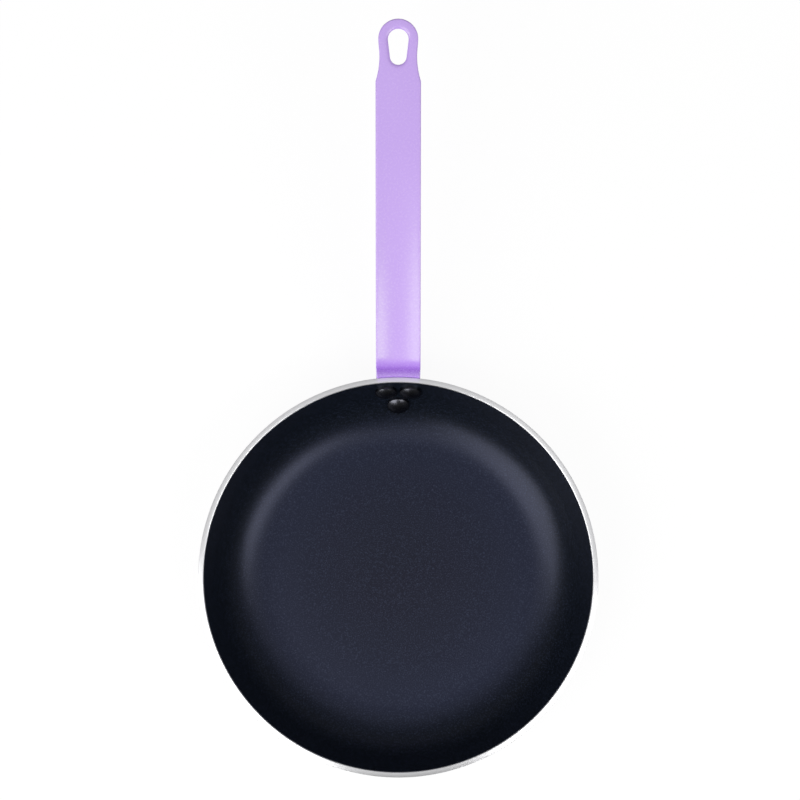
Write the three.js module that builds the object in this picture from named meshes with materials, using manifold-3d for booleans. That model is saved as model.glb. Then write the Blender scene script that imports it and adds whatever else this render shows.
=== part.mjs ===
// A nonstick frying pan: a pressed aluminium body lined with a nonstick film, and a flat steel
// handle held to the outside of the wall by three rivets.
// Millimetres, +Z up. The origin is the centre of the base's underside and the handle points along +Y.

import * as THREE from "three";
import { mergeVertices } from "three/addons/utils/BufferGeometryUtils.js";
import Module from "manifold-3d";

// Pan body
const rimDiameter = 280;
const panHeight = 44;
const sheetThickness = 3.5;
const wallSlope = 64; // degrees between the table and the straight upper wall
const cornerRadius = 40; // inside the pan, from the floor to the wall
const rimChamfer = 0.5;

// Nonstick film on the inside of the body
const filmThickness = 0.3;
const filmGap = 0.1;

// Rivets: a domed head in the pan, a shank, and a flatter tail outside the handle
const headDiameter = 15.2;
const headHeight = 5;
const headEdge = 1.8; // straight side under the dome
const tailDiameter = 10.2;
const tailHeight = 2.2;
const tailEdge = 0.7;
const shankDiameter = 6;
const headPairGap = 2; // between the two upper heads
const headRowGap = 4.2; // between the upper row and the lower head, along the wall
const upperRivetDrop = 13.8; // from the rim down the outside of the wall

// Handle strip
const overallLength = 525; // from the far side of the rim to the tip of the handle
const stripWidth = 31.2;
const stripThickness = 3;
const plateSideLand = 1.55; // plate left beside the upper tails
const plateEndLand = 4; // plate left round the lower tail
const neckRise = 11.5; // straight run above the rim, at the slope of the wall
const bendRadius = 11.2; // under the bend
const rootSlope = 17; // degrees, where the grip leaves the bend
const tipSlope = 4; // degrees, at the tip
const channelRadius = 70; // across the grip, where it leaves the bend
const channelRun = 190; // the channel runs out flat over this length of the grip

// Hanging end of the handle
const hangHoleWidth = 14.2;
const hangHoleFootWidth = 11.4;
const hangHoleLength = 24.6;
const hangHoleSideLand = 6.6; // strip left beside the hole
const hangHoleTipLand = 7; // strip left between the hole and the tip
const waistWidth = 25.9;
const shoulderLength = 17;

const seatGap = 0.3; // clearance between riveted pieces, and of the shanks in their holes

// Fineness of the facets
const latheSides = 72;
const rivetSides = 24;
const cornerSteps = 8;
const domeSteps = 5;
const holeSteps = 12;
const acrossSteps = 8;
const alongSteps = {
  plateEnd: 6,
  corner: 7,
  wall: 4,
  neck: 2,
  bend: 8,
  grip: 14,
  shoulder: 5,
  waist: 3,
  tip: 8,
};
const mergeDistance = 1e-4;

const { degToRad, lerp, smoothstep } = THREE.MathUtils;

// Sizes worked out from those above
const rimRadius = rimDiameter / 2;
const wallAngle = degToRad(wallSlope);
const outerCorner = cornerRadius + sheetThickness;
const cornerRise = outerCorner * (1 - Math.cos(wallAngle));
const straightWall = (panHeight - cornerRise) / Math.sin(wallAngle);
const baseRadius = rimRadius - straightWall * Math.cos(wallAngle) - outerCorner * Math.sin(wallAngle);
const filmOuter = sheetThickness + filmGap;
const filmInner = filmOuter + filmThickness;
const plateOuter = seatGap + stripThickness;
const lowerRivetDrop = upperRivetDrop + headDiameter + headRowGap;

const wasm = await Module();
wasm.setup();

// A closed geometry as a solid that can be joined and cut
function solidFrom(geometry) {
  const bare = new THREE.BufferGeometry();
  bare.setAttribute("position", geometry.getAttribute("position"));
  bare.setIndex(geometry.getIndex());
  const merged = mergeVertices(bare, mergeDistance);
  const corners = merged.getIndex().array;
  const kept = [];
  for (let i = 0; i < corners.length; i += 3) {
    const [a, b, c] = corners.slice(i, i + 3);
    if (a !== b && b !== c && c !== a) kept.push(a, b, c);
  }
  return new wasm.Manifold(
    new wasm.Mesh({
      numProp: 3,
      vertProperties: new Float32Array(merged.getAttribute("position").array),
      triVerts: new Uint32Array(kept),
    }),
  );
}

function geometryFrom(solid) {
  const mesh = solid.getMesh();
  const geometry = new THREE.BufferGeometry();
  geometry.setAttribute("position", new THREE.BufferAttribute(mesh.vertProperties, 3));
  geometry.setIndex(new THREE.BufferAttribute(mesh.triVerts, 1));
  geometry.computeVertexNormals();
  return geometry;
}

// A profile of (radius, height) points turned round the Z axis
function turned(profile, sides) {
  return new THREE.LatheGeometry(profile, sides).rotateX(Math.PI / 2);
}

// The cap of a ball as (radius, height) points, from its edge to the axis
function domePoints(radius, base, top) {
  const spread = 2 * Math.atan((top - base) / radius);
  const ballRadius = radius / Math.sin(spread); // below zero for a dome that points down
  return Array.from({ length: domeSteps + 1 }, (_, i) => {
    const angle = spread * (1 - i / domeSteps);
    return new THREE.Vector2(ballRadius * Math.sin(angle), top - ballRadius * (1 - Math.cos(angle)));
  });
}

// The wall's section: drop runs down its outside from the rim, offset is square to it, outwards
function wallAt(drop, offset) {
  const onCorner = drop > straightWall;
  const slope = onCorner ? wallAngle - (drop - straightWall) / outerCorner : wallAngle;
  const radius = onCorner
    ? baseRadius + outerCorner * Math.sin(slope)
    : rimRadius - drop * Math.cos(wallAngle);
  const height = onCorner
    ? outerCorner * (1 - Math.cos(slope))
    : panHeight - drop * Math.sin(wallAngle);
  return {
    radius: radius + offset * Math.sin(slope),
    height: height - offset * Math.cos(slope),
    slope,
  };
}

// The section from the axis along the floor and up the wall to a given drop
function wallProfile(topDrop, offset) {
  const points = [new THREE.Vector2(0, -offset)];
  for (let i = 0; i <= cornerSteps; i++) {
    const drop = straightWall + outerCorner * wallAngle * (1 - i / cornerSteps);
    const { radius, height } = wallAt(drop, offset);
    points.push(new THREE.Vector2(radius, height));
  }
  const top = wallAt(topDrop, offset);
  points.push(new THREE.Vector2(top.radius, top.height));
  return points;
}

// The drop at which a layer inside the wall comes level with the rim
function rimDrop(offset) {
  return offset / Math.tan(wallAngle);
}

// Everything inside the wall moved out by an offset, up past the rim
function insideOfWall(offset) {
  const profile = wallProfile(-headDiameter, offset);
  profile.push(new THREE.Vector2(0, profile.at(-1).y));
  return solidFrom(turned(profile, latheSides));
}

// Rivet places: the drop down the wall and the turn round the pan's axis
const headPitch = headDiameter + headPairGap;
const upperTurn = headPitch / 2 / wallAt(upperRivetDrop, -filmInner).radius;
const rivetPlaces = [
  { name: "rivet_left", drop: upperRivetDrop, turn: upperTurn },
  { name: "rivet_right", drop: upperRivetDrop, turn: -upperTurn },
  { name: "rivet_lower", drop: lowerRivetDrop, turn: 0 },
];

// Puts an object whose Z axis is the rivet's axis, pointing into the pan, square to the wall
function placeOnWall(object, drop) {
  const seat = wallAt(drop, 0);
  object.position.set(0, seat.radius, seat.height);
  object.rotation.x = seat.slope;
  object.updateMatrix();
  return object;
}

// The clearance holes of all the rivets, as one solid that cuts each layer
function rivetHoles() {
  const length = 2 * (filmInner + plateOuter + headDiameter);
  const radius = shankDiameter / 2 + seatGap;
  const holes = rivetPlaces.map(({ drop, turn }) => {
    const hole = new THREE.CylinderGeometry(radius, radius, length, rivetSides).rotateX(Math.PI / 2);
    hole.applyMatrix4(placeOnWall(new THREE.Object3D(), drop).matrix).rotateZ(turn);
    return solidFrom(hole);
  });
  return holes.reduce((all, hole) => all.add(hole));
}

const holesForRivets = rivetHoles();

function panBody() {
  const innerRim = rimDrop(sheetThickness);
  const outside = wallProfile(rimChamfer, 0);
  const rim = [
    new THREE.Vector2(rimRadius - rimChamfer, panHeight),
    new THREE.Vector2(wallAt(innerRim, -sheetThickness).radius + rimChamfer, panHeight),
  ];
  const inside = wallProfile(innerRim + rimChamfer, -sheetThickness).reverse();
  const body = turned([...outside, ...rim, ...inside], latheSides);
  return solidFrom(body).subtract(holesForRivets);
}

function nonstickFilm() {
  const top = rimDrop(filmInner) + rimChamfer;
  const under = wallProfile(top, -filmOuter);
  const over = wallProfile(top, -filmInner).reverse();
  return solidFrom(turned([...under, ...over], latheSides)).subtract(holesForRivets);
}

// A rivet in its own frame: Z along the axis into the pan, zero at the outside of the wall
function rivet(drop) {
  const headRadius = headDiameter / 2;
  const tailRadius = tailDiameter / 2;
  const shankRadius = shankDiameter / 2;
  const tail = domePoints(tailRadius, -plateOuter - tailEdge, -plateOuter - tailHeight).reverse();
  const head = domePoints(headRadius, filmInner + headEdge, filmInner + headHeight);
  const step = [new THREE.Vector2(tailRadius, 0), new THREE.Vector2(headRadius, 0)];
  const blank = solidFrom(turned([...tail, ...step, ...head], rivetSides));

  const layers = insideOfWall(plateOuter + seatGap).subtract(insideOfWall(-filmInner - seatGap));
  const toRivet = placeOnWall(new THREE.Object3D(), drop).matrix.invert();
  const clamped = solidFrom(geometryFrom(layers).applyMatrix4(toRivet));

  const shankEnds = [-plateOuter - tailEdge, filmInner + headEdge];
  const shank = [
    new THREE.Vector2(0, shankEnds[0]),
    new THREE.Vector2(shankRadius, shankEnds[0]),
    new THREE.Vector2(shankRadius, shankEnds[1]),
    new THREE.Vector2(0, shankEnds[1]),
  ];
  return blank.subtract(clamped).add(solidFrom(turned(shank, rivetSides)));
}

// The handle's upper face as a line in the YZ plane, from the foot of the plate to the tip.
// "along" is the distance from the foot: up the wall, past the rim, round the bend and out.
const plateEndRadius = tailDiameter / 2 + plateEndLand;
const plateWidth = headPitch + tailDiameter + 2 * plateSideLand;
const rimAlong = lowerRivetDrop + plateEndRadius;
const upperRowAlong = rimAlong - upperRivetDrop;
const cornerAlong = rimAlong - straightWall;
const neckAlong = rimAlong + neckRise;
const rootAngle = degToRad(rootSlope);
const tipAngle = degToRad(tipSlope);
const bendOuter = bendRadius + stripThickness;
const bendAlong = neckAlong + bendOuter * (wallAngle - rootAngle);

// A point on an arc that begins at a given point and slope and flattens to another slope
function flatten(start, arcRadius, slope) {
  return {
    radius: start.radius + arcRadius * (Math.sin(start.slope) - Math.sin(slope)),
    height: start.height + arcRadius * (Math.cos(slope) - Math.cos(start.slope)),
    slope,
  };
}

const neckTop = wallAt(-neckRise, seatGap);
const gripRoot = flatten(neckTop, bendOuter, rootAngle);
const tipReach = overallLength - rimRadius - stripThickness * Math.sin(tipAngle);
const gripRadius = (tipReach - gripRoot.radius) / (Math.sin(rootAngle) - Math.sin(tipAngle));
const tipAlong = bendAlong + gripRadius * (rootAngle - tipAngle);

function handleAt(along) {
  if (along <= neckAlong) return wallAt(rimAlong - along, seatGap);
  if (along <= bendAlong) return flatten(neckTop, bendOuter, wallAngle - (along - neckAlong) / bendOuter);
  return flatten(gripRoot, gripRadius, rootAngle - (along - bendAlong) / gripRadius);
}

// Outline of the strip: half its width at a distance from the foot of the plate
const endRadius = hangHoleWidth / 2 + hangHoleSideLand;
const footFromTip = hangHoleTipLand + hangHoleLength - hangHoleFootWidth / 2;
const shoulderFromTip = footFromTip + shoulderLength;

function roundedEnd(radius, fromEnd) {
  return Math.sqrt(Math.max(0, fromEnd * (2 * radius - fromEnd)));
}

function halfWidthAt(along) {
  const fromTip = tipAlong - along;
  if (along < plateEndRadius) return roundedEnd(plateEndRadius, along);
  if (along < rimAlong) {
    return lerp(plateEndRadius, plateWidth / 2, smoothstep(along, plateEndRadius, upperRowAlong));
  }
  if (along < bendAlong) {
    return lerp(plateWidth / 2, stripWidth / 2, smoothstep(along, rimAlong, bendAlong));
  }
  if (fromTip > shoulderFromTip) return stripWidth / 2;
  if (fromTip > footFromTip) {
    return lerp(waistWidth / 2, stripWidth / 2, ((fromTip - footFromTip) / shoulderLength) ** 2);
  }
  if (fromTip > endRadius) {
    return lerp(endRadius, waistWidth / 2, smoothstep(fromTip, endRadius, footFromTip));
  }
  return roundedEnd(endRadius, fromTip);
}

// A point of the strip: across it from its centre line, and down into it from its upper face.
// Its section follows the round wall at the plate, and is a shallow channel on the grip.
function stripPoint(along, across, depth) {
  const { radius, height, slope } = handleAt(along);
  const downY = Math.sin(slope);
  const downZ = -Math.cos(slope);
  const onGrip = smoothstep(along, rimAlong, bendAlong);
  const channel = (1 - smoothstep(along, bendAlong, bendAlong + channelRun)) / channelRadius;
  const hollow = lerp(1 / radius, channel, onGrip);
  const y = radius + depth * downY;
  const z = height + depth * downZ;
  if (hollow === 0) return new THREE.Vector3(across, y, z);
  const sectionRadius = 1 / hollow + depth * downY * (1 - onGrip);
  const lift = sectionRadius * (1 - Math.cos(across * hollow));
  const liftWay = new THREE.Vector2(lerp(-1, -downY, onGrip), lerp(0, -downZ, onGrip)).normalize();
  return new THREE.Vector3(
    sectionRadius * Math.sin(across * hollow),
    y + lift * liftWay.x,
    z + lift * liftWay.y,
  );
}

// Distances from an end at which a round end is divided, and even steps between two distances
function roundSteps(radius, steps) {
  return Array.from({ length: steps }, (_, i) => radius * (1 - Math.cos(((i / steps) * Math.PI) / 2)));
}

function evenSteps(from, to, steps) {
  return Array.from({ length: steps }, (_, i) => lerp(from, to, i / steps));
}

const shoulderAlong = tipAlong - shoulderFromTip;
const waistAlong = tipAlong - footFromTip;
const endAlong = tipAlong - endRadius;
const stations = [
  ...roundSteps(plateEndRadius, alongSteps.plateEnd),
  ...evenSteps(plateEndRadius, cornerAlong, alongSteps.corner),
  ...evenSteps(cornerAlong, rimAlong, alongSteps.wall),
  ...evenSteps(rimAlong, neckAlong, alongSteps.neck),
  ...evenSteps(neckAlong, bendAlong, alongSteps.bend),
  ...evenSteps(bendAlong, shoulderAlong, alongSteps.grip),
  ...evenSteps(shoulderAlong, waistAlong, alongSteps.shoulder),
  ...evenSteps(waistAlong, endAlong, alongSteps.waist),
  endAlong,
  ...roundSteps(endRadius, alongSteps.tip).reverse().map((fromTip) => tipAlong - fromTip),
];

// The hanging hole: a wide arc towards the tip and a narrower one at its foot, joined by tangents
function hangHole() {
  const wide = hangHoleWidth / 2;
  const narrow = hangHoleFootWidth / 2;
  const spacing = hangHoleLength - wide - narrow;
  const lean = Math.asin((wide - narrow) / spacing);
  const outline = new THREE.Shape();
  outline.absarc(0, 0, wide, -lean, Math.PI + lean, false);
  outline.absarc(0, -spacing, narrow, Math.PI + lean, 2 * Math.PI - lean, false);
  const depth = 4 * stripThickness;
  const plug = new THREE.ExtrudeGeometry(outline, { depth, bevelEnabled: false, curveSegments: holeSteps });
  const { radius, height, slope } = handleAt(tipAlong - hangHoleTipLand - wide);
  plug.translate(0, 0, -depth / 2).rotateX(slope).translate(0, radius, height);
  return solidFrom(plug);
}

// A flat blank bent to the handle's line, then drilled
function handle() {
  const rows = stations.length - 1;
  const blank = new THREE.BoxGeometry(2, rows, 1, acrossSteps, rows, 1);
  const position = blank.getAttribute("position");
  for (let i = 0; i < position.count; i++) {
    const along = stations[Math.round(position.getY(i) + rows / 2)];
    const across = position.getX(i) * halfWidthAt(along);
    const depth = (0.5 - position.getZ(i)) * stripThickness;
    const point = stripPoint(along, across, depth);
    position.setXYZ(i, point.x, point.y, point.z);
  }
  return solidFrom(blank).subtract(holesForRivets).subtract(hangHole());
}

// Finishes
const satinAluminium = new THREE.MeshStandardMaterial({ color: 0xd5d6da, roughness: 0.35, metalness: 1 });
const blackNonstick = new THREE.MeshStandardMaterial({ color: 0x23262f, roughness: 0.55, metalness: 0 });
const lilacCoat = new THREE.MeshStandardMaterial({ color: 0xc8acf0, roughness: 0.4, metalness: 0 });
const blackGloss = new THREE.MeshStandardMaterial({ color: 0x121317, roughness: 0.2, metalness: 0 });

function named(name, solid, material) {
  const mesh = new THREE.Mesh(geometryFrom(solid), material);
  mesh.name = name;
  return mesh;
}

const fryingPan = new THREE.Group();
fryingPan.add(named("pan_body", panBody(), satinAluminium));
fryingPan.add(named("nonstick_coating", nonstickFilm(), blackNonstick));
fryingPan.add(named("handle", handle(), lilacCoat));

for (const { name, drop, turn } of rivetPlaces) {
  const turntable = new THREE.Group();
  turntable.rotation.z = turn;
  turntable.add(placeOnWall(named(name, rivet(drop), blackGloss), drop));
  fryingPan.add(turntable);
}

export default fryingPan;
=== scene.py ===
import math

import bmesh
import bpy
from mathutils import Matrix, Vector
from mathutils.geometry import delaunay_2d_cdt


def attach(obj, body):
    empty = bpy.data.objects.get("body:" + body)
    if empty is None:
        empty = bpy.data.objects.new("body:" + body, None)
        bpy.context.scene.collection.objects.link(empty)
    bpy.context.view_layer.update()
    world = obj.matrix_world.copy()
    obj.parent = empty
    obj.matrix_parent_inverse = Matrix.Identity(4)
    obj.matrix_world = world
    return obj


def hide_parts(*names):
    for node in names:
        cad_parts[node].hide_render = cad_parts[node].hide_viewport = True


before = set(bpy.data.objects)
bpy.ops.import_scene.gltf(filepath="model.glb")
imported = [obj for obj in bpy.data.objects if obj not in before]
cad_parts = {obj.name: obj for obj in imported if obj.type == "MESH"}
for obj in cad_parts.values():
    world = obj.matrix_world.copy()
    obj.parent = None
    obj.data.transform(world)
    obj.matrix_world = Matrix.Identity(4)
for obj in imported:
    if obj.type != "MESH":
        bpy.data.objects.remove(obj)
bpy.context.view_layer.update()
scene = bpy.context.scene
scene.view_settings.view_transform = "Standard"
print("frame loaded:", ", ".join(sorted(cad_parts)))


# Small helpers for node trees

def addNode(tree, kind, **settings):
    node = tree.nodes.new(kind)
    for name, value in settings.items():
        setattr(node, name, value)
    return node


def feed(tree, socket, value):  # a socket is linked, a plain value is set
    if isinstance(value, bpy.types.NodeSocket):
        tree.links.new(value, socket)
    else:
        socket.default_value = value


def fill(tree, kind, values, **settings):  # a node with its named inputs fed
    node = addNode(tree, kind, **settings)
    for name, value in values.items():
        feed(tree, node.inputs[name], value)
    return node


def calc(tree, operation, *values):
    node = addNode(tree, "ShaderNodeMath", operation=operation)
    for socket, value in zip(node.inputs, values):
        feed(tree, socket, value)
    return node.outputs[0]


def vectorCalc(tree, operation, *values):
    node = addNode(tree, "ShaderNodeVectorMath", operation=operation)
    for socket, value in zip(node.inputs, values):
        feed(tree, socket, value)
    return node.outputs["Value" if operation in ("DOT_PRODUCT", "LENGTH") else "Vector"]


def share(tree, value, low, high):  # how far a value is from low to high, 0 to 1
    spread = {"Value": value, "From Min": low, "From Max": high}
    return fill(tree, "ShaderNodeMapRange", spread).outputs["Result"]


def joined(tree, x, y, z):
    return fill(tree, "ShaderNodeCombineXYZ", {"X": x, "Y": y, "Z": z}).outputs[0]


def newTree(name, inputs):
    tree = bpy.data.node_groups.new(name, "GeometryNodeTree")
    for label, kind in inputs.items():
        tree.interface.new_socket(label, in_out="INPUT", socket_type="NodeSocket" + kind)
    tree.interface.new_socket("Mesh", in_out="OUTPUT", socket_type="NodeSocketGeometry")
    given = addNode(tree, "NodeGroupInput").outputs
    result = addNode(tree, "NodeGroupOutput").inputs["Mesh"]
    return tree, given, result


def grow(name, baseMesh, tree, sizes):  # runs a tree on a mesh and keeps the plain result
    piece = bpy.data.objects.new(name, baseMesh)
    scene.collection.objects.link(piece)
    modifier = piece.modifiers.new(tree.name, "NODES")
    modifier.node_group = tree
    for item in tree.interface.items_tree:
        if item.in_out == "INPUT" and item.name in sizes:
            modifier[item.identifier] = sizes[item.name]
    evaluated = piece.evaluated_get(bpy.context.evaluated_depsgraph_get())
    piece.data = bpy.data.meshes.new_from_object(evaluated)
    piece.modifiers.clear()
    for attribute in [a.name for a in piece.data.attributes if a.name.startswith("seat")]:
        piece.data.attributes.remove(piece.data.attributes[attribute])
    print("grown:", name, len(piece.data.polygons), "faces")
    return piece


def settle(piece, slot, *nodes):  # the frame's calls for a finished piece
    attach(piece, "root")
    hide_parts(*nodes)


# Sizes, in metres and radians

creaseAngle = math.radians(40)  # edges sharper than this stay sharp
weldDistance = 1e-6

panBody = {
    "rimRadius": 0.140,
    "height": 0.044,
    "sheet": 0.0035,
    "wallSlope": math.radians(64),
    "insideCorner": 0.040,
    "floorCrown": 0.0020,  # the inside of the floor rises this much to its middle
    "lipFall": 0.0008,  # the lip's outer edge lies this much below its inner edge
    "lipCrown": 0.00012,  # rise of the lip's middle
    "lipRows": 6,
    "outerLipRound": 0.0003,
    "innerLipRound": 0.0006,
    "floorRows": 14,
    "cornerRows": 28,
    "wallRows": 6,
    "sides": 216,
    "lipRoundRows": 7,  # extra points in each rounded edge of the lip
    "drillSides": 32,
}

lining = {
    "gap": 0.0001,  # behind the film
    "film": 0.0003,
    "lipDrop": 0.0005,  # bare metal left below the lip
    "edgeRound": 0.00012,
}

rivet = {
    "headDiameter": 0.0152,
    "headHeight": 0.005,
    "headEdge": 0.0022,  # straight side under the dome
    "tailDiameter": 0.0102,
    "tailHeight": 0.0022,
    "tailEdge": 0.0007,
    "shankDiameter": 0.006,
    "holeGap": 0.0003,
    "pairGap": 0.0020,  # between the two upper heads
    "rowGap": 0.0042,  # between the rows of heads, along the wall
    "upperDrop": 0.0138,  # from the rim down the wall
    "domeRows": 12,
    "sides": 48,
}

handle = {
    "overallLength": 0.525,
    "stripWidth": 0.0312,
    "thickness": 0.003,
    "seatGap": 0.0003,
    "plateSideLand": 0.00155,
    "plateEndLand": 0.004,
    "neckRise": 0.0115,
    "bendRadius": 0.0112,  # under the bend
    "rootSlope": math.radians(17),
    "tipSlope": math.radians(4),
    "channelRadius": 0.070,  # across the grip, where it leaves the bend
    "channelRun": 0.190,  # the channel fades over this length of the grip
    "holeWidth": 0.0142,
    "holeFootWidth": 0.0114,
    "holeLength": 0.0246,
    "holeSideLand": 0.0066,
    "holeTipLand": 0.007,
    "waistWidth": 0.0259,
    "shoulderLength": 0.017,
    "edgeRound": (0.0010, 0.0010),  # width and depth of the round along the strip's edges
    "holeRound": (0.0032, 0.0014),  # the hole's edges are rolled in wider
    "roundSteps": 6,
    "tipSteps": 18,  # steps round each half of an end
    "footSteps": 14,
    "holeSteps": 24,
    "plateSpacing": 0.002,  # distances between points along the strip
    "bendSpacing": 0.0012,
    "gripSpacing": 0.004,
    "shoulderSpacing": 0.0015,
    "netSpacing": 0.0025,
    "netColumns": 9,
    "netClearance": 0.0012,  # between the net of points on a face and its edges
    "netMargin": 2.5,  # from its outermost columns to the strip's sides, in clearances
}

# The wall that everything sits on

wallSlope = panBody["wallSlope"]
rimRadius = panBody["rimRadius"]
panHeight = panBody["height"]
outerCorner = panBody["insideCorner"] + panBody["sheet"]
cornerRise = outerCorner * (1 - math.cos(wallSlope))
straightWall = (panHeight - cornerRise) / math.sin(wallSlope)
baseRadius = rimRadius - straightWall * math.cos(wallSlope) - outerCorner * math.sin(wallSlope)
filmOuter = panBody["sheet"] + lining["gap"]
filmInner = filmOuter + lining["film"]
plateOuter = handle["seatGap"] + handle["thickness"]


def wallAt(drop, offset):  # radius, height and slope; drop runs down the outside, offset points out
    slope = wallSlope - max(0, drop - straightWall) / outerCorner
    climb = max(0, straightWall - drop)
    radius = baseRadius + (outerCorner + offset) * math.sin(slope) + climb * math.cos(wallSlope)
    height = outerCorner - (outerCorner + offset) * math.cos(slope) + climb * math.sin(wallSlope)
    return radius, height, slope


# Rivet seats: three points on the wall, each with its own way in, way up and bend

headPitch = rivet["headDiameter"] + rivet["pairGap"]
lowerDrop = rivet["upperDrop"] + rivet["headDiameter"] + rivet["rowGap"]
upperTurn = headPitch / 2 / wallAt(rivet["upperDrop"], -filmInner)[0]
rivetSeats = [
    (rivet["upperDrop"], upperTurn),
    (rivet["upperDrop"], -upperTurn),
    (lowerDrop, 0),
]


def seatMesh():
    mesh = bpy.data.meshes.new("rivetSeats")
    rows = {"seatPoint": [], "seatFacing": [], "seatUphill": []}
    bends = {"seatBendUp": [], "seatBendAcross": []}
    for drop, turn in rivetSeats:
        radius, height, slope = wallAt(drop, 0)
        out = Vector((-math.sin(turn), math.cos(turn), 0))
        rows["seatPoint"].append(out * radius + Vector((0, 0, height)))
        rows["seatFacing"].append(Vector((0, 0, math.cos(slope))) - out * math.sin(slope))
        rows["seatUphill"].append(out * math.cos(slope) + Vector((0, 0, math.sin(slope))))
        bends["seatBendUp"].append(1 / outerCorner if drop > straightWall else 0)
        bends["seatBendAcross"].append(math.sin(slope) / radius)
    mesh.from_pydata(rows["seatPoint"], [], [])
    for name, vectors in rows.items():
        attribute = mesh.attributes.new(name, "FLOAT_VECTOR", "POINT")
        attribute.data.foreach_set("vector", [part for vector in vectors for part in vector])
    for name, numbers in bends.items():
        mesh.attributes.new(name, "FLOAT", "POINT").data.foreach_set("value", numbers)
    return mesh


# Tree that turns an open section, drawn in the XZ plane, round the Z axis

def makeTurnSection():
    tree, given, result = newTree("turnSection", {"Section": "Geometry", "Sides": "Int"})
    section = given["Section"]
    ring = calc(tree, "ADD", given["Sides"], 1)
    points = fill(tree, "GeometryNodeAttributeDomainSize", {"Geometry": section}, component="CURVE")
    grid = fill(
        tree,
        "GeometryNodeMeshGrid",
        {"Vertices X": points.outputs["Point Count"], "Vertices Y": ring},
    )
    index = addNode(tree, "GeometryNodeInputIndex").outputs[0]
    column = calc(tree, "MODULO", index, ring)
    row = calc(tree, "ROUND", calc(tree, "DIVIDE", calc(tree, "SUBTRACT", index, column), ring))
    onSection = fill(
        tree,
        "GeometryNodeSampleIndex",
        {
            "Geometry": section,
            "Value": addNode(tree, "GeometryNodeInputPosition").outputs[0],
            "Index": row,
        },
        data_type="FLOAT_VECTOR",
    )
    parts = fill(tree, "ShaderNodeSeparateXYZ", {"Vector": onSection.outputs["Value"]}).outputs
    turn = calc(tree, "MULTIPLY", column, calc(tree, "DIVIDE", math.tau, given["Sides"]))
    place = joined(
        tree,
        calc(tree, "MULTIPLY", parts["X"], calc(tree, "COSINE", turn)),
        calc(tree, "MULTIPLY", parts["X"], calc(tree, "SINE", turn)),
        parts["Z"],
    )
    turned = fill(
        tree, "GeometryNodeSetPosition", {"Geometry": grid.outputs["Mesh"], "Position": place}
    )
    weld = {"Geometry": turned.outputs[0], "Distance": weldDistance}  # closes the seam and the poles
    feed(tree, result, fill(tree, "GeometryNodeMergeByDistance", weld).outputs[0])
    return tree


def sectionCurve(tree, count, place):  # a line of points, each sent to its place on the section
    line = fill(tree, "GeometryNodeMeshLine", {"Count": count})
    curve = fill(tree, "GeometryNodeMeshToCurve", {"Mesh": line.outputs[0]})
    moved = {"Geometry": curve.outputs[0], "Position": place}
    return fill(tree, "GeometryNodeSetPosition", moved).outputs[0]


def turn(tree, section, sides, turnSection):
    node = addNode(tree, "GeometryNodeGroup", node_tree=turnSection)
    feed(tree, node.inputs["Section"], section)
    feed(tree, node.inputs["Sides"], sides)
    return node.outputs["Mesh"]


def onSeats(tree, seats, instance):  # copies a shape to each seat, its Z axis facing into the pan
    facing = namedVector(tree, "seatFacing")
    aim = fill(tree, "FunctionNodeAlignRotationToVector", {"Vector": facing}, axis="Z")
    copies = fill(
        tree,
        "GeometryNodeInstanceOnPoints",
        {"Points": seats, "Instance": instance, "Rotation": aim.outputs[0]},
    )
    return fill(tree, "GeometryNodeRealizeInstances", {"Geometry": copies.outputs[0]}).outputs[0]


def namedVector(tree, name):
    kind = "FLOAT_VECTOR"
    return fill(tree, "GeometryNodeInputNamedAttribute", {"Name": name}, data_type=kind).outputs[0]


def namedNumber(tree, name):
    return fill(tree, "GeometryNodeInputNamedAttribute", {"Name": name}).outputs[0]


def smoothed(tree, mesh):  # smooth faces, with sharp edges past the crease
    soft = fill(tree, "GeometryNodeSetShadeSmooth", {"Geometry": mesh})
    angle = addNode(tree, "GeometryNodeInputMeshEdgeAngle").outputs["Unsigned Angle"]
    hard = fill(
        tree,
        "GeometryNodeSetShadeSmooth",
        {
            "Geometry": soft.outputs[0],
            "Selection": calc(tree, "GREATER_THAN", angle, creaseAngle),
            "Shade Smooth": False,
        },
        domain="EDGE",
    )
    return hard.outputs[0]


def finished(tree, mesh, finish):
    realized = fill(tree, "GeometryNodeRealizeInstances", {"Geometry": smoothed(tree, mesh)})
    coated = {"Geometry": realized.outputs[0], "Material": finish}
    return fill(tree, "GeometryNodeSetMaterial", coated).outputs[0]


# Tree for one layer of the pan: up the outside face, over the lip and down the inside face

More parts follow.
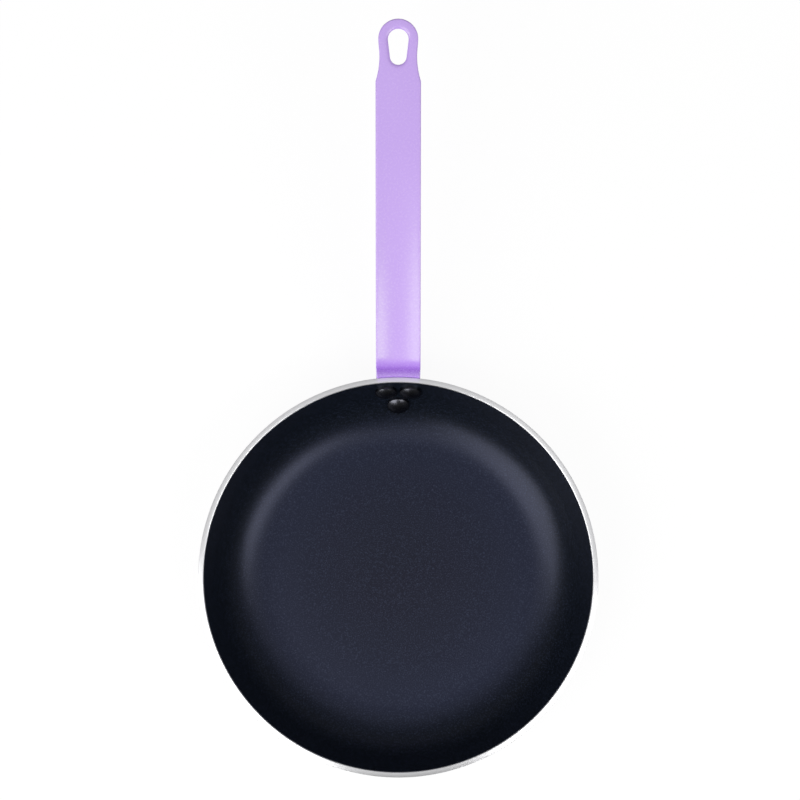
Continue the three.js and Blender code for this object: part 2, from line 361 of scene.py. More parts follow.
def makeTurnedLayer(turnSection):
    tree, given, result = newTree(
        "turnedLayer",
        {
            "Seats": "Geometry",
            "Rim Radius": "Float",
            "Height": "Float",
            "Wall Slope": "Float",
            "Outer Corner": "Float",
            "Outer Depth": "Float",
            "Inner Depth": "Float",
            "Lip Drop": "Float",
            "Lip Fall": "Float",
            "Lip Crown": "Float",
            "Outer Floor Crown": "Float",
            "Inner Floor Crown": "Float",
            "Outer Lip Round": "Float",
            "Inner Lip Round": "Float",
            "Hole Radius": "Float",
            "Floor Rows": "Int",
            "Corner Rows": "Int",
            "Wall Rows": "Int",
            "Lip Rows": "Int",
            "Sides": "Int",
            "Finish": "Material",
        },
    )

    def sub(a, b):
        return calc(tree, "SUBTRACT", a, b)

    def add(a, b):
        return calc(tree, "ADD", a, b)

    def mul(a, b):
        return calc(tree, "MULTIPLY", a, b)

    def div(a, b):
        return calc(tree, "DIVIDE", a, b)

    wall = given["Wall Slope"]
    corner = given["Outer Corner"]
    sinWall = calc(tree, "SINE", wall)
    cosWall = calc(tree, "COSINE", wall)
    straight = div(sub(given["Height"], mul(corner, sub(1, cosWall))), sinWall)
    base = sub(sub(given["Rim Radius"], mul(straight, cosWall)), mul(corner, sinWall))

    # Points run from the axis out along the floor and up, over the lip, then back on the other face
    cornerEnd = add(given["Floor Rows"], given["Corner Rows"])
    wallEnd = add(cornerEnd, given["Wall Rows"])
    lipEnd = add(wallEnd, given["Lip Rows"])
    index = addNode(tree, "GeometryNodeInputIndex").outputs[0]

    def facePoint(row, depth, lipFall, floorCrown):
        topDrop = add(add(given["Lip Drop"], div(depth, calc(tree, "TANGENT", wall))), lipFall)
        floorShare = share(tree, row, 0, given["Floor Rows"])
        slope = mul(wall, share(tree, row, given["Floor Rows"], cornerEnd))
        climb = mul(sub(straight, topDrop), share(tree, row, cornerEnd, wallEnd))
        arm = sub(corner, depth)
        radius = add(mul(base, floorShare), mul(arm, calc(tree, "SINE", slope)))
        height = sub(corner, mul(arm, calc(tree, "COSINE", slope)))
        height = add(height, mul(floorCrown, sub(1, mul(floorShare, floorShare))))
        return add(radius, mul(climb, cosWall)), add(height, mul(climb, sinWall))

    outerFall = div(given["Lip Fall"], sinWall)
    innerRow = sub(add(wallEnd, lipEnd), index)
    outerFace = facePoint(index, given["Outer Depth"], outerFall, given["Outer Floor Crown"])
    innerFace = facePoint(innerRow, given["Inner Depth"], 0, given["Inner Floor Crown"])
    overLip = share(tree, index, wallEnd, lipEnd)  # 0 on the outside, 1 on the inside
    crown = mul(given["Lip Crown"], mul(4, mul(overLip, sub(1, overLip))))
    radius, height = (add(o, mul(overLip, sub(i, o))) for o, i in zip(outerFace, innerFace))
    count = add(add(wallEnd, lipEnd), 1)
    section = sectionCurve(tree, count, joined(tree, radius, 0, add(height, crown)))

    # Both edges of the lip are rounded
    outerEdge = calc(tree, "COMPARE", index, wallEnd, 0.5)
    innerEdge = calc(tree, "COMPARE", index, lipEnd, 0.5)
    lipRound = add(
        mul(outerEdge, given["Outer Lip Round"]), mul(innerEdge, given["Inner Lip Round"])
    )
    roundRows = add(1, mul(panBody["lipRoundRows"], add(outerEdge, innerEdge)))
    rounded = fill(
        tree,
        "GeometryNodeFilletCurve",
        {"Curve": section, "Radius": lipRound, "Count": roundRows},
        mode="POLY",
    )
    shell = turn(tree, rounded.outputs[0], given["Sides"], turnSection)

    drill = fill(
        tree,
        "GeometryNodeMeshCylinder",
        {
            "Vertices": panBody["drillSides"],
            "Radius": given["Hole Radius"],
            "Depth": given["Height"],
        },
    )
    holes = onSeats(tree, given["Seats"], drill.outputs["Mesh"])
    drilled = addNode(tree, "GeometryNodeMeshBoolean", operation="DIFFERENCE", solver="EXACT")
    feed(tree, drilled.inputs["Mesh 1"], shell)
    feed(tree, drilled.inputs["Mesh 2"], holes)
    feed(tree, result, finished(tree, drilled.outputs["Mesh"], given["Finish"]))
    return tree


# Tree for the rivets: a tail, a shank and a domed head turned in one, then set on the seats

def makeRivets(turnSection):
    tree, given, result = newTree(
        "rivets",
        {
            "Seats": "Geometry",
            "Head Diameter": "Float",
            "Head Height": "Float",
            "Head Edge": "Float",
            "Tail Diameter": "Float",
            "Tail Height": "Float",
            "Tail Edge": "Float",
            "Shank Diameter": "Float",
            "Head Seat": "Float",
            "Tail Seat": "Float",
            "Dome Rows": "Int",
            "Sides": "Int",
            "Finish": "Material",
        },
    )
    headRadius = calc(tree, "DIVIDE", given["Head Diameter"], 2)
    tailRadius = calc(tree, "DIVIDE", given["Tail Diameter"], 2)
    shankRadius = calc(tree, "DIVIDE", given["Shank Diameter"], 2)
    tailSeat = calc(tree, "MULTIPLY", given["Tail Seat"], -1)
    index = addNode(tree, "GeometryNodeInputIndex").outputs[0]
    rows = given["Dome Rows"]
    headStart = calc(tree, "ADD", rows, 5)

    def dome(reachShare, radius, seat, edge, height, way):  # the cap of a ball, from axis to edge
        rise = calc(tree, "SUBTRACT", height, edge)
        spread = calc(tree, "MULTIPLY", calc(tree, "ARCTAN2", rise, radius), 2)
        ball = calc(tree, "DIVIDE", radius, calc(tree, "SINE", spread))
        angle = calc(tree, "MULTIPLY", spread, reachShare)
        reach = calc(tree, "MULTIPLY", ball, calc(tree, "SINE", angle))
        sunk = calc(tree, "MULTIPLY", ball, calc(tree, "SUBTRACT", 1, calc(tree, "COSINE", angle)))
        up = calc(tree, "SUBTRACT", height, sunk)
        return joined(tree, reach, 0, calc(tree, "MULTIPLY_ADD", up, way, seat))

    tailShare = share(tree, index, 0, rows)
    tail = dome(tailShare, tailRadius, tailSeat, given["Tail Edge"], given["Tail Height"], -1)
    headShare = share(tree, index, calc(tree, "ADD", headStart, rows), headStart)
    head = dome(headShare, headRadius, given["Head Seat"], given["Head Edge"], given["Head Height"], 1)

    steps = addNode(tree, "GeometryNodeIndexSwitch", data_type="VECTOR")
    corners = [
        (tailRadius, tailSeat),
        (shankRadius, tailSeat),
        (shankRadius, given["Head Seat"]),
        (headRadius, given["Head Seat"]),
    ]
    while len(steps.index_switch_items) < len(corners):
        steps.index_switch_items.new()
    firstCorner = calc(tree, "ADD", rows, 1)
    feed(tree, steps.inputs["Index"], calc(tree, "SUBTRACT", index, firstCorner))
    for socket, (reach, height) in zip(steps.inputs[1:], corners):
        feed(tree, socket, joined(tree, reach, 0, height))

    def choose(test, no, yes):
        values = {"Switch": test, "False": no, "True": yes}
        return fill(tree, "GeometryNodeSwitch", values, input_type="VECTOR").outputs[0]

    onTail = calc(tree, "LESS_THAN", index, calc(tree, "ADD", rows, 0.5))
    onHead = calc(tree, "GREATER_THAN", index, calc(tree, "SUBTRACT", headStart, 0.5))
    place = choose(onTail, choose(onHead, steps.outputs[0], head), tail)
    count = calc(tree, "ADD", calc(tree, "ADD", headStart, rows), 1)
    shape = turn(tree, sectionCurve(tree, count, place), given["Sides"], turnSection)
    seated = onSeats(tree, given["Seats"], shape)

    # Head and tail are pressed to the curve of the wall
    facing = namedVector(tree, "seatFacing")
    uphill = namedVector(tree, "seatUphill")
    here = addNode(tree, "GeometryNodeInputPosition").outputs[0]
    local = vectorCalc(tree, "SUBTRACT", here, namedVector(tree, "seatPoint"))
    up = vectorCalc(tree, "DOT_PRODUCT", local, uphill)
    across = vectorCalc(tree, "DOT_PRODUCT", local, vectorCalc(tree, "CROSS_PRODUCT", facing, uphill))
    upLift = calc(tree, "MULTIPLY", calc(tree, "MULTIPLY", up, up), namedNumber(tree, "seatBendUp"))
    acrossLift = calc(
        tree,
        "MULTIPLY",
        calc(tree, "MULTIPLY", across, across),
        namedNumber(tree, "seatBendAcross"),
    )
    lift = calc(tree, "DIVIDE", calc(tree, "ADD", upLift, acrossLift), 2)
    offset = vectorCalc(tree, "MULTIPLY", facing, joined(tree, lift, lift, lift))
    pressed = fill(tree, "GeometryNodeSetPosition", {"Geometry": seated, "Offset": offset})
    feed(tree, result, finished(tree, pressed.outputs[0], given["Finish"]))
    return tree


# Finishes

def newFinish(name):
    material = bpy.data.materials.new(name)
    material.use_nodes = True
    tree = material.node_tree
    shader = tree.nodes["Principled BSDF"]
    coords = addNode(tree, "ShaderNodeTexCoord").outputs["Object"]
    return material, tree, shader, coords


def noise(tree, coords, scale, detail=2.0, roughness=0.5):
    values = {"Vector": coords, "Scale": scale, "Detail": detail, "Roughness": roughness}
    return fill(tree, "ShaderNodeTexNoise", values).outputs[0]


def between(tree, amount, low, high):  # a number that follows a 0 to 1 pattern from low to high
    spread = {"Value": amount, "To Min": low, "To Max": high}
    return fill(tree, "ShaderNodeMapRange", spread).outputs["Result"]


def blendColour(tree, amount, first, second):
    node = addNode(tree, "ShaderNodeMix", data_type="RGBA")
    feed(tree, node.inputs["Factor"], amount)
    for socket, colour in zip((s for s in node.inputs if s.type == "RGBA"), (first, second)):
        feed(tree, socket, (*colour, 1) if isinstance(colour, tuple) else colour)
    return next(s for s in node.outputs if s.type == "RGBA")


def fromAxis(tree, coords):  # distance from the pan's own axis
    return vectorCalc(tree, "LENGTH", vectorCalc(tree, "MULTIPLY", coords, (1, 1, 0)))


def bump(tree, shader, height, strength, distance):
    values = {"Height": height, "Strength": strength, "Distance": distance}
    feed(tree, shader.inputs["Normal"], fill(tree, "ShaderNodeBump", values).outputs[0])


def setShader(shader, **values):
    for name, value in values.items():
        shader.inputs[name.replace("_", " ")].default_value = value


turnedMetal = {
    "bright": (0.89, 0.89, 0.90),
    "dull": (0.79, 0.79, 0.81),
    "roughness": (0.33, 0.39),
    "cloudScale": 14,
    "ringsPerMetre": 1100,
    "ringWaver": 2.5,
    "grooveBump": (0.1, 0.00005),  # strength and distance
}


def makeTurnedMetal():
    material, tree, shader, coords = newFinish("turnedAluminium")
    height = fill(tree, "ShaderNodeSeparateXYZ", {"Vector": coords}).outputs["Z"]
    cloud = noise(tree, coords, turnedMetal["cloudScale"], 3)
    rings = joined(
        tree,
        calc(tree, "MULTIPLY", fromAxis(tree, coords), turnedMetal["ringsPerMetre"]),
        calc(tree, "MULTIPLY", height, turnedMetal["ringsPerMetre"]),
        calc(tree, "MULTIPLY", cloud, turnedMetal["ringWaver"]),
    )
    groove = noise(tree, rings, 1, 3, 0.65)  # fine lines left by the lathe
    feed(
        tree,
        shader.inputs["Base Color"],
        blendColour(tree, groove, turnedMetal["dull"], turnedMetal["bright"]),
    )
    feed(tree, shader.inputs["Roughness"], between(tree, cloud, *turnedMetal["roughness"]))
    bump(tree, shader, groove, *turnedMetal["grooveBump"])
    setShader(shader, Metallic=1.0, Anisotropic=0.92, Anisotropic_Rotation=0.25)
    return material


nonstick = {
    # The floor's colour is painted darker in its middle and lighter towards its edge: a painted
    # reflection, not the coat's own tone.
    "middle": (0.0001, 0.0002, 0.0036),
    "paintedBrightFloorEdge": (0.0016, 0.0032, 0.0120),
    "wall": (0.0026, 0.0038, 0.0056),
    "fleck": (0.0170, 0.0225, 0.0420),
    "paintedReflectionSpan": (0.0, 0.085),  # radii over which the painted reflection on the floor goes from dark to light
    "wallSpan": (0.095, 0.115),  # radii where the floor's tone gives way to the wall's
    "shine": (0.68, 0.72, 1.0, 1),
    "roughness": (0.31, 0.37),
    "patchScale": 30,
    "grainScale": 1100,
    "grainRoughness": 0.6,
    "fleckSpan": (0.50, 0.74),  # part of the grain that shows as flecks
    "grainBump": (0.4, 0.00006),
}


def makeNonstick():
    material, tree, shader, coords = newFinish("darkNonstick")
    grain = noise(tree, coords, nonstick["grainScale"], 2, nonstick["grainRoughness"])
    radius = fromAxis(tree, coords)
    # painted reflection: the floor darker in its middle, lighter towards its edge
    paintedReflectionShare = calc(tree, "POWER", share(tree, radius, *nonstick["paintedReflectionSpan"]), 2)
    onWall = share(tree, radius, *nonstick["wallSpan"])
    ground = blendColour(tree, paintedReflectionShare, nonstick["middle"], nonstick["paintedBrightFloorEdge"])
    ground = blendColour(tree, onWall, ground, nonstick["wall"])
    fleck = share(tree, grain, *nonstick["fleckSpan"])
    feed(tree, shader.inputs["Base Color"], blendColour(tree, fleck, ground, nonstick["fleck"]))
    patch = noise(tree, coords, nonstick["patchScale"], 3)
    feed(tree, shader.inputs["Roughness"], between(tree, patch, *nonstick["roughness"]))
    bump(tree, shader, grain, *nonstick["grainBump"])
    setShader(shader, IOR=1.40, Specular_Tint=nonstick["shine"])
    return material


powderCoat = {
    "deep": (0.510, 0.330, 0.805),
    "light": (0.540, 0.360, 0.835),
    # bend is a painted shade, laid over the bend of the handle
    "bend": (0.400, 0.190, 0.800),
    "bendShadeFrom": (0.1360, 0.1440),  # painted shade, a deeper lilac over the bend: where it begins
    "bendShadeTo": (0.1455, 0.1520),  # and where it ends, as distances from the pan's axis
    "shine": (0.74, 1.0, 0.20, 1),
    "roughness": (0.24, 0.30),
    "patchScale": 22,
    "peelScale": 650,
    "peelBump": (0.05, 0.00003),
}


def makePowderCoat():
    material, tree, shader, coords = newFinish("lilacPowderCoat")
    patch = noise(tree, coords, powderCoat["patchScale"])
    coat = blendColour(tree, patch, powderCoat["deep"], powderCoat["light"])
    # painted shade over the bend, placed by distance from the pan's axis
    out = fill(tree, "ShaderNodeSeparateXYZ", {"Vector": coords}).outputs["Y"]
    past = share(tree, out, *powderCoat["bendShadeFrom"])
    before = share(tree, out, *reversed(powderCoat["bendShadeTo"]))
    paintedBendShade = calc(tree, "MULTIPLY", past, before)
    feed(tree, shader.inputs["Base Color"], blendColour(tree, paintedBendShade, coat, powderCoat["bend"]))
    peel = noise(tree, coords, powderCoat["peelScale"])  # the slight orange peel of a baked coat
    feed(tree, shader.inputs["Roughness"], between(tree, peel, *powderCoat["roughness"]))
    bump(tree, shader, peel, *powderCoat["peelBump"])
    setShader(shader, IOR=1.60, Specular_Tint=powderCoat["shine"], Coat_Weight=0.2, Coat_Roughness=0.2)
    return material


blackRivet = {
    "dark": (0.072, 0.074, 0.086),
    "worn": (0.100, 0.102, 0.117),
    "roughness": (0.24, 0.32),
    "patchScale": 260,
    "pitScale": 1500,
    "pitBump": (0.08, 0.00004),
}


def makeBlackRivet():
    material, tree, shader, coords = newFinish("blackRivetGloss")
    patch = noise(tree, coords, blackRivet["patchScale"], 3)
    feed(
        tree,
        shader.inputs["Base Color"],
        blendColour(tree, patch, blackRivet["dark"], blackRivet["worn"]),
    )
    feed(tree, shader.inputs["Roughness"], between(tree, patch, *blackRivet["roughness"]))
    pits = noise(tree, coords, blackRivet["pitScale"])
    bump(tree, shader, pits, *blackRivet["pitBump"])
    setShader(shader, Metallic=1.0)
    return material


# Pan body and its lining, from the same tree

turnSection = makeTurnSection()
turnedLayer = makeTurnedLayer(turnSection)
holeRadius = rivet["shankDiameter"] / 2 + rivet["holeGap"]
layerSizes = {
    "Rim Radius": rimRadius,
    "Height": panHeight,
    "Wall Slope": wallSlope,
    "Outer Corner": outerCorner,
    "Hole Radius": holeRadius,
    "Floor Rows": panBody["floorRows"],
    "Corner Rows": panBody["cornerRows"],
    "Wall Rows": panBody["wallRows"],
    "Sides": panBody["sides"],
}

panShell = grow(
    "panShell",
    seatMesh(),
    turnedLayer,
    {
        **layerSizes,
        "Outer Depth": 0.0,
        "Inner Depth": panBody["sheet"],
        "Lip Drop": 0.0,
        "Lip Fall": panBody["lipFall"],
        "Lip Crown": panBody["lipCrown"],
        "Outer Floor Crown": 0.0,
        "Inner Floor Crown": panBody["floorCrown"],
        "Lip Rows": panBody["lipRows"],
        "Outer Lip Round": panBody["outerLipRound"],
        "Inner Lip Round": panBody["innerLipRound"],
        "Finish": makeTurnedMetal(),
    },
)
settle(panShell, "aluminium", "pan_body")

nonstickLining = grow(
    "nonstickLining",
    seatMesh(),
    turnedLayer,
    {
        **layerSizes,
        "Outer Depth": filmOuter,
        "Inner Depth": filmInner,
        "Lip Drop": lining["lipDrop"],
        "Lip Fall": 0.0,
        "Lip Crown": 0.0,
        "Outer Floor Crown": panBody["floorCrown"],
        "Inner Floor Crown": panBody["floorCrown"],
        "Lip Rows": 1,
        "Outer Lip Round": lining["edgeRound"],
        "Inner Lip Round": lining["edgeRound"],
        "Finish": makeNonstick(),
    },
)
settle(nonstickLining, "nonstick", "nonstick_coating")

rivets = grow(
    "rivetSet",
    seatMesh(),
    makeRivets(turnSection),
    {
        "Head Diameter": rivet["headDiameter"],
        "Head Height": rivet["headHeight"],
        "Head Edge": rivet["headEdge"],
        "Tail Diameter": rivet["tailDiameter"],
        "Tail Height": rivet["tailHeight"],
        "Tail Edge": rivet["tailEdge"],
        "Shank Diameter": rivet["shankDiameter"],
        "Head Seat": filmInner,
        "Tail Seat": plateOuter,
        "Dome Rows": rivet["domeRows"],
        "Sides": rivet["sides"],
        "Finish": makeBlackRivet(),
    },
)
settle(rivets, "black_rivet", "rivet_left", "rivet_right", "rivet_lower")


# Handle: a flat outline with rounded edges, bent up the wall, over the rim and out

plateEndRadius = rivet["tailDiameter"] / 2 + handle["plateEndLand"]
plateWidth = headPitch + rivet["tailDiameter"] + 2 * handle["plateSideLand"]
rimAlong = lowerDrop + plateEndRadius
upperRowAlong = rimAlong - rivet["upperDrop"]
neckAlong = rimAlong + handle["neckRise"]
bendOuter = handle["bendRadius"] + handle["thickness"]
bendAlong = neckAlong + bendOuter * (wallSlope - handle["rootSlope"])


def mix(first, second, amount):
    return first + (second - first) * amount


def ease(value, low, high):
    t = min(max((value - low) / (high - low), 0), 1)
    return t * t * (3 - 2 * t)


def flatten(start, arcRadius, slope):  # an arc from a point and slope to a lower slope
    radius, height, startSlope = start
    radius += arcRadius * (math.sin(startSlope) - math.sin(slope))
    height += arcRadius * (math.cos(slope) - math.cos(startSlope))
    return radius, height, slope


neckTop = wallAt(-handle["neckRise"], handle["seatGap"])
gripRoot = flatten(neckTop, bendOuter, handle["rootSlope"])
tipDrop = handle["thickness"] * math.sin(handle["tipSlope"])
tipReach = handle["overallLength"] - rimRadius - tipDrop
gripRadius = (tipReach - gripRoot[0]) / (math.sin(handle["rootSlope"]) - math.sin(handle["tipSlope"]))
tipAlong = bendAlong + gripRadius * (handle["rootSlope"] - handle["tipSlope"])


def handleAt(along):
    if along <= neckAlong:
        return wallAt(rimAlong - along, handle["seatGap"])
    if along <= bendAlong:
        return flatten(neckTop, bendOuter, wallSlope - (along - neckAlong) / bendOuter)
    return flatten(gripRoot, gripRadius, handle["rootSlope"] - (along - bendAlong) / gripRadius)


endRadius = handle["holeWidth"] / 2 + handle["holeSideLand"]
footFromTip = handle["holeTipLand"] + handle["holeLength"] - handle["holeFootWidth"] / 2
shoulderFromTip = footFromTip + handle["shoulderLength"]


def roundedEnd(radius, fromEnd):
    return math.sqrt(max(0, fromEnd * (2 * radius - fromEnd)))


def halfWidthAt(along):
    fromTip = tipAlong - along
    plateHalf = plateWidth / 2
    stripHalf = handle["stripWidth"] / 2
    waistHalf = handle["waistWidth"] / 2
    if along < plateEndRadius:
        return roundedEnd(plateEndRadius, along)
    if along < rimAlong:
        return mix(plateEndRadius, plateHalf, ease(along, plateEndRadius, upperRowAlong))
    if along < bendAlong:
        return mix(plateHalf, stripHalf, ease(along, rimAlong, bendAlong))
    if fromTip > shoulderFromTip:
        return stripHalf
    if fromTip > footFromTip:
        return mix(waistHalf, stripHalf, ((fromTip - footFromTip) / handle["shoulderLength"]) ** 2)
    if fromTip > endRadius:
        return mix(endRadius, waistHalf, ease(fromTip, endRadius, footFromTip))
    return roundedEnd(endRadius, fromTip)


def stripPoint(flat, depth):  # flat is (across, along); depth goes down from the upper face
    radius, height, slope = handleAt(flat.y)
    downY = math.sin(slope)
    downZ = -math.cos(slope)
    onGrip = ease(flat.y, rimAlong, bendAlong)
    fade = 1 - ease(flat.y, bendAlong, bendAlong + handle["channelRun"])
    hollow = mix(1 / radius, fade / handle["channelRadius"], onGrip)
    y = radius + depth * downY
    z = height + depth * downZ
    if hollow == 0:
        return Vector((flat.x, y, z))
    sectionRadius = 1 / hollow + depth * downY * (1 - onGrip)
    lift = sectionRadius * (1 - math.cos(flat.x * hollow))
    liftWay = Vector((mix(-1, -downY, onGrip), mix(0, -downZ, onGrip))).normalized()
    side = sectionRadius * math.sin(flat.x * hollow)
    return Vector((side, y + lift * liftWay.x, z + lift * liftWay.y))


def evenSteps(low, high, spacing):
    count = max(1, round((high - low) / spacing))
    return [mix(low, high, i / count) for i in range(count)]


def roundSteps(radius, count):  # distances from an end, closer together at the end itself
    return [radius * (1 - math.cos(i / count * math.pi / 2)) for i in range(1, count)]


def stripOutline():
    shoulderAlong = tipAlong - shoulderFromTip
    endAlong = tipAlong - endRadius
    stations = [
        *roundSteps(plateEndRadius, handle["footSteps"]),
        *evenSteps(plateEndRadius, rimAlong, handle["plateSpacing"]),
        *evenSteps(rimAlong, bendAlong, handle["bendSpacing"]),
        *evenSteps(bendAlong, shoulderAlong, handle["gripSpacing"]),
        *evenSteps(shoulderAlong, endAlong, handle["shoulderSpacing"]),
        endAlong,
        *[tipAlong - step for step in reversed(roundSteps(endRadius, handle["tipSteps"]))],
    ]
    right = [Vector((halfWidthAt(along), along)) for along in stations]
    left = [Vector((-point.x, point.y)) for point in reversed(right)]
    return [Vector((0, 0)), *right, Vector((0, tipAlong)), *left]


def circleLoop(centre, radius, count):
    turns = [i / count * math.tau for i in range(count)]
    return [centre + radius * Vector((math.cos(a), math.sin(a))) for a in turns]


def teardropLoop(count):  # a wide arc towards the tip and a narrower one at the foot
    wide = handle["holeWidth"] / 2
    narrow = handle["holeFootWidth"] / 2
    spacing = handle["holeLength"] - wide - narrow
    lean = math.asin((wide - narrow) / spacing)
    centre = Vector((0, tipAlong - handle["holeTipLand"] - wide))
    arcs = [(centre, wide, -lean, math.pi + lean)]
    arcs.append((centre - Vector((0, spacing)), narrow, math.pi + lean, math.tau - lean))
    loop = []
    for middle, radius, start, end in arcs:
        angles = [mix(start, end, i / count) for i in range(count + 1)]
        loop += [middle + radius * Vector((math.cos(a), math.sin(a))) for a in angles]
    return loop


def rivetLoops():
    loops = []
    for drop, turnAngle in rivetSeats:
        along = rimAlong - drop
        across = -turnAngle * handleAt(along)[0]
        loops.append(circleLoop(Vector((across, along)), holeRadius, handle["holeSteps"]))
    return loops


def moved(loop, distance):  # an outline moved square to itself, outwards where positive
    points = []
    for i, point in enumerate(loop):
        along = loop[(i + 1) % len(loop)] - loop[i - 1]
        points.append(point + Vector((along.y, -along.x)).normalized() * distance)
    return points


def edgeSteps(edgeRound):  # (inset, depth) down an edge that is rounded above and below
    thickness = handle["thickness"]
    if edgeRound is None:
        return [(0, 0), (0, thickness)]
    width, drop = edgeRound
    count = handle["roundSteps"]
    angles = [i / count * math.pi / 2 for i in range(count + 1)]
    upper = [(width * (1 - math.sin(a)), drop * (1 - math.cos(a))) for a in angles]
    return upper + [(inset, thickness - depth) for inset, depth in reversed(upper)]


def isInside(point, loop):
    crossed = False
    for i, a in enumerate(loop):
        b = loop[i - 1]
        if (a.y > point.y) != (b.y > point.y):
            if point.x < (b.x - a.x) * (point.y - a.y) / (b.y - a.y) + a.x:
                crossed = not crossed
    return crossed


def innerPoints(loops, clearance):  # an even net of points, clear of every edge
    rows = [
        *evenSteps(0, rimAlong, handle["netSpacing"]),
        *evenSteps(rimAlong, bendAlong, handle["bendSpacing"]),
        *evenSteps(bendAlong, tipAlong, handle["gripSpacing"]),
    ]
    columns = handle["netColumns"]
    edges = [point for loop in loops for point in loop]
    points = []
    for along in rows:
        for i in range(columns):
            reach = max(0, halfWidthAt(along) - handle["netMargin"] * clearance)
            across = mix(-1, 1, i / (columns - 1)) * reach
            point = Vector((across, along))
            near = min((point - edge).length for edge in edges)
            if near > clearance and isInside(point, loops[0]):
                if not any(isInside(point, loop) for loop in loops[1:]):
                    points.append(point)
    return points


def coverFace(bm, loops, loopVerts, depth):  # fills between the outline and the holes
    points = [point for loop in loops for point in loop]
    verts = [vert for ring in loopVerts for vert in ring]
    edges = []
    first = 0
    for loop in loops:
        count = len(loop)
        edges += [(first + i, first + (i + 1) % count) for i in range(count)]
        first += count
    for point in innerPoints(loops, handle["netClearance"]):
        points.append(point)
        verts.append(bm.verts.new(stripPoint(point, depth)))
    spots, _, triangles, sources, _, _ = delaunay_2d_cdt(points, edges, [], 0, 1e-7)
    for triangle in triangles:
        middle = sum((spots[i] for i in triangle), Vector((0, 0))) / len(triangle)
        if isInside(middle, loops[0]) and not any(isInside(middle, hole) for hole in loops[1:]):
            bm.faces.new([verts[sources[i][0]] for i in triangle])


def makeHandle():
    bm = bmesh.new()
    edges = [
        (stripOutline(), -1, handle["edgeRound"]),
        (teardropLoop(handle["holeSteps"]), 1, handle["holeRound"]),
    ]
    edges += [(loop, 1, None) for loop in rivetLoops()]
    topLoops, topVerts, underLoops, underVerts = [], [], [], []
    for outline, way, edgeRound in edges:
        loops = []
        rings = []
        for inset, depth in edgeSteps(edgeRound):
            loop = moved(outline, way * inset)
            loops.append(loop)
            rings.append([bm.verts.new(stripPoint(point, depth)) for point in loop])
        for upper, lower in zip(rings, rings[1:]):
            for i in range(len(upper)):
                bm.faces.new((upper[i - 1], upper[i], lower[i], lower[i - 1]))
        topLoops.append(loops[0])
        topVerts.append(rings[0])
        underLoops.append(loops[-1])
        underVerts.append(rings[-1])
    coverFace(bm, topLoops, topVerts, 0)
    coverFace(bm, underLoops, underVerts, handle["thickness"])
    bmesh.ops.recalc_face_normals(bm, faces=bm.faces)
    for face in bm.faces:
        face.smooth = True
    for edge in bm.edges:
        edge.smooth = edge.calc_face_angle(0) < creaseAngle
    mesh = bpy.data.meshes.new("handleStrip")
    bm.to_mesh(mesh)
    bm.free()
    mesh.materials.append(makePowderCoat())
    piece = bpy.data.objects.new("handleStrip", mesh)
    scene.collection.objects.link(piece)
    print("made: handleStrip", len(mesh.polygons), "faces")
    return piece


settle(makeHandle(), "lilac_coat", "handle")


# Floor, world, lights and camera

studio = {
    "floorRadius": 8.0,
    "floorSides": 96,
    "floorSink": 0.0002,  # below the base, so that the two don't touch
    "floorColour": 0.98,
    "floorGlow": 0.92,  # how much of the floor's own white the camera and reflections see
    "surroundFront": 0.03,  # the world's level straight out in front of the pan
    "surroundBack": 0.25,  # and straight out behind the handle
    "ceiling": 0.87,  # a pale patch overhead
    "ceilingLean": math.radians(2),  # towards the handle
    "ceilingCore": math.radians(13.5),
    "ceilingReach": math.radians(50),
    "aim": Vector((0, 0.08, 0.03)),
    "boxDistance": 2.0,
}

softBoxes = {
    "softBoxLeft": {
        "turn": math.radians(218),  # round the aim, from +X
        "lean": math.radians(48.7),  # from straight overhead
        "roll": math.radians(34),
        "width": 1.81,
        "height": 1.61,
        "brightness": 3.7,  # of its face, in watts per square metre and steradian
    },
    "softBoxRight": {
        "turn": math.radians(324),
        "lean": math.radians(40.6),
        "roll": math.radians(-24),
        "width": 1.365,
        "height": 0.745,
        "brightness": 5.0,
    },
}


def makeFloor():
    bm = bmesh.new()
    bmesh.ops.create_circle(bm, cap_ends=True, segments=studio["floorSides"], radius=studio["floorRadius"])
    mesh = bpy.data.meshes.new("floor")
    bm.to_mesh(mesh)
    bm.free()
    mesh.transform(Matrix.Translation((0, 0, -studio["floorSink"])))
    material = bpy.data.materials.new("paleFloor")
    material.use_nodes = True
    tree = material.node_tree
    tree.nodes.clear()
    tone = (studio["floorColour"],) * 3 + (1,)
    lit = fill(tree, "ShaderNodeBsdfDiffuse", {"Color": tone})
    white = fill(tree, "ShaderNodeEmission", {"Strength": 1.0})
    rays = addNode(tree, "ShaderNodeLightPath").outputs
    seen = calc(tree, "MAXIMUM", rays["Is Camera Ray"], rays["Is Glossy Ray"])
    seen = calc(tree, "MAXIMUM", seen, rays["Is Transmission Ray"])
    both = addNode(tree, "ShaderNodeMixShader")
    feed(tree, both.inputs[0], calc(tree, "MULTIPLY", seen, studio["floorGlow"]))
    feed(tree, both.inputs[1], lit.outputs[0])
    feed(tree, both.inputs[2], white.outputs[0])
    fill(tree, "ShaderNodeOutputMaterial", {"Surface": both.outputs[0]})
    mesh.materials.append(material)
    floor = bpy.data.objects.new("floor", mesh)
    scene.collection.objects.link(floor)


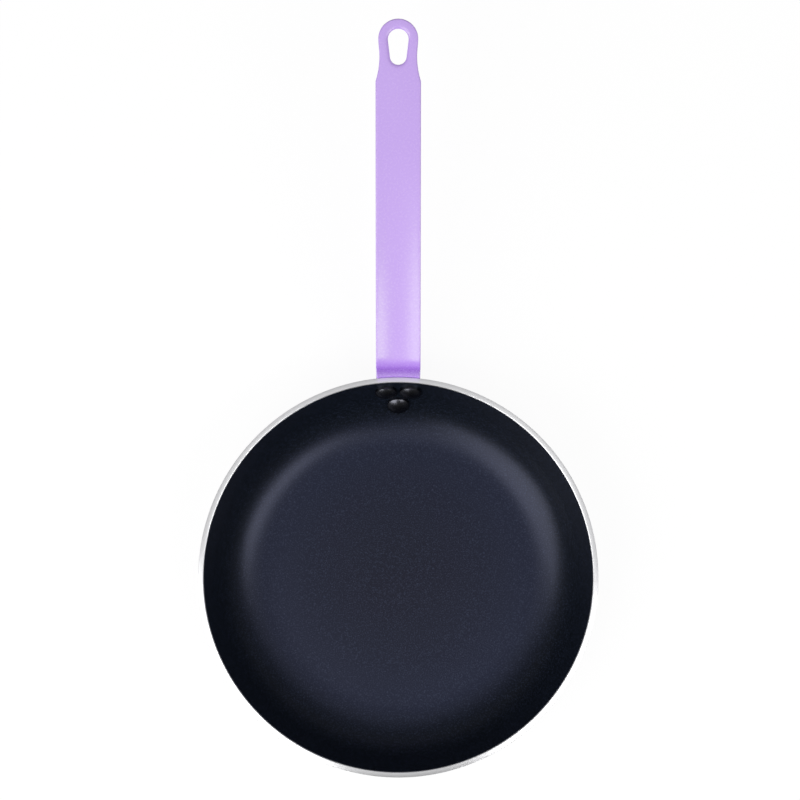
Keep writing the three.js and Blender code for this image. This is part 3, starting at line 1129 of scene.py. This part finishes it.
def makeWorld():
    world = bpy.data.worlds.new("studio")
    scene.world = world
    world.use_nodes = True
    tree = world.node_tree
    ground = tree.nodes["Background"]
    way = addNode(tree, "ShaderNodeTexCoord").outputs["Generated"]
    lean = studio["ceilingLean"]
    nearCeiling = vectorCalc(tree, "DOT_PRODUCT", way, (0, math.sin(lean), math.cos(lean)))
    surround = fill(
        tree,
        "ShaderNodeMapRange",
        {
            "Value": vectorCalc(tree, "DOT_PRODUCT", way, (0, 1, 0)),
            "From Min": -1,
            "From Max": 1,
            "To Min": studio["surroundFront"],
            "To Max": studio["surroundBack"],
        },
    ).outputs["Result"]
    level = fill(
        tree,
        "ShaderNodeMapRange",
        {
            "Value": nearCeiling,
            "From Min": math.cos(studio["ceilingReach"]),
            "From Max": math.cos(studio["ceilingCore"]),
            "To Min": surround,
            "To Max": studio["ceiling"],
        },
        interpolation_type="SMOOTHSTEP",
    ).outputs["Result"]
    feed(tree, ground.inputs["Strength"], level)
    ground.inputs["Color"].default_value = (1, 1, 1, 1)


def makeSoftBox(name, size):
    lamp = bpy.data.lights.new(name, "AREA")
    lamp.shape = "RECTANGLE"
    lamp.size = size["height"]
    lamp.size_y = size["width"]
    lamp.energy = size["brightness"] * math.pi * size["width"] * size["height"]
    box = bpy.data.objects.new(name, lamp)
    scene.collection.objects.link(box)
    facing = Matrix.Rotation(size["turn"], 3, "Z") @ Matrix.Rotation(size["lean"], 3, "Y")
    away = facing @ Vector((0, 0, 1))
    box.location = studio["aim"] + away * studio["boxDistance"]
    box.rotation_euler = (facing @ Matrix.Rotation(size["roll"], 3, "Z")).to_euler()
    box.visible_camera = False


view = {
    "imageWidth": 800,
    "rimPixels": 401.8,  # across the rim in the photograph
    "centre": (0.0012, 0.1237),
    "heightOverRim": 3.4,
    "sensor": 36.0,
}


def makeCamera():
    camera = bpy.data.objects.new("camera", bpy.data.cameras.new("camera"))
    scene.collection.objects.link(camera)
    fieldWidth = view["imageWidth"] * 2 * rimRadius / view["rimPixels"]
    camera.data.sensor_width = view["sensor"]
    camera.data.lens = view["sensor"] * view["heightOverRim"] / fieldWidth
    camera.location = (*view["centre"], panHeight + view["heightOverRim"])
    scene.camera = camera


makeFloor()
makeWorld()
for boxName, boxSize in softBoxes.items():
    makeSoftBox(boxName, boxSize)
makeCamera()
print("stage set")
